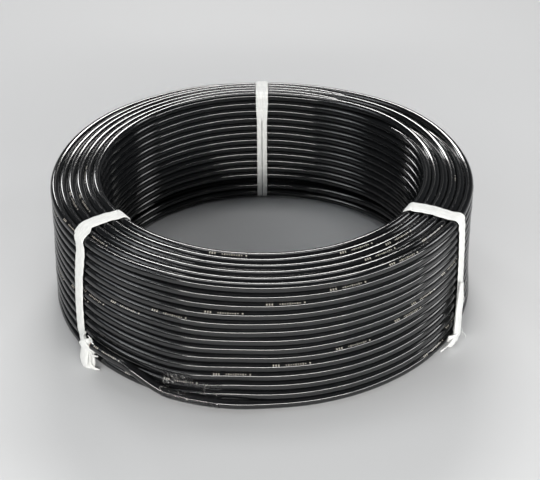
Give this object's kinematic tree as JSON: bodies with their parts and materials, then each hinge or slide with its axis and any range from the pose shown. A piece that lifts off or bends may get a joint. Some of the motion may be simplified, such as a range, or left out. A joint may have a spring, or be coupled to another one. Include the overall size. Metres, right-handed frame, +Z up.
{
  "type": "copper tube coil",
  "caption": "Ring-shaped coil of soft copper tube in a glossy black plastic jacket, wound in layers, lying flat and tied by flat white tapes.",
  "frame": {"origin": "on the coil's axis, at the floor that the coil lies on", "axes": "+Z up along the coil's axis; -Y towards the front, where the tube's free end lies low on the outer wall; +X to the right seen from the front"},
  "size_m": [0.45, 0.4573, 0.1425],
  "materials": {
    "jacket": "glossy black plastic jacket",
    "copper": "bare cut copper",
    "tape": "soft white flat tape",
    "film": "clear crinkled adhesive tape"
  },
  "bodies": {
    "root": {"tube_coil": "jacket", "copper_tip": "copper", "tie_left": "tape", "tie_right": "tape", "tie_back": "tape", "end_wrap": "film"}
  },
  "joints": []
}
